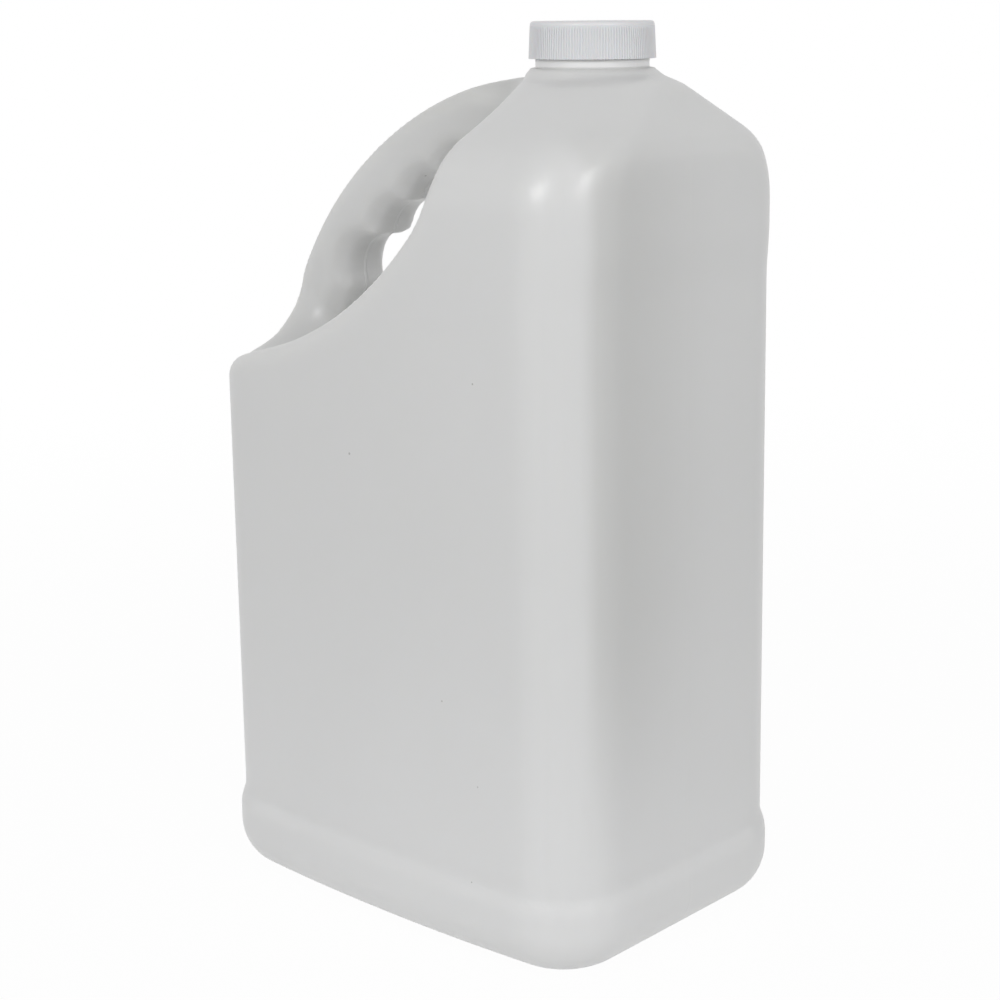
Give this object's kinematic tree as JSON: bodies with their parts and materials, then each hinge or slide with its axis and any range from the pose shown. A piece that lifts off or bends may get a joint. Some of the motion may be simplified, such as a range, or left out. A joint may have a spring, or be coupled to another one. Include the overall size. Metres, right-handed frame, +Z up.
{
  "type": "plastic jug",
  "caption": "Blown plastic jug with a flat base, slanted shoulders, an off-centre neck, a through handle with finger scallops and a ribbed screw cap.",
  "frame": {"origin": "middle of the base, on the surface that the jug stands on", "axes": "+Z up; +X along the wide faces towards the neck end; Y across the wide faces"},
  "size_m": [0.172, 0.1236, 0.2964],
  "materials": {
    "natural_hdpe": "satin, slightly see-through",
    "white_cap": "satin",
    "liner_foam": "matt"
  },
  "bodies": {
    "jug": {"jug_body": "natural_hdpe"},
    "liner": {"cap_liner": "liner_foam"},
    "closure": {"cap": "white_cap"}
  },
  "joints": [
    {"name": "cap_lift", "type": "slide", "parent": "jug", "child": "liner", "axis": [0, 0, 1], "range_m": [0, 0.0127]},
    {"name": "cap_turn", "type": "hinge", "parent": "liner", "child": "closure", "pos_m": [0.0453, 0, 0], "axis": [0, 0, 1], "range_deg": [0, 1080]}
  ],
  "couplings": [
    {"joint": "cap_lift", "follows": "cap_turn", "m_per_rad": 0.0006737}
  ]
}
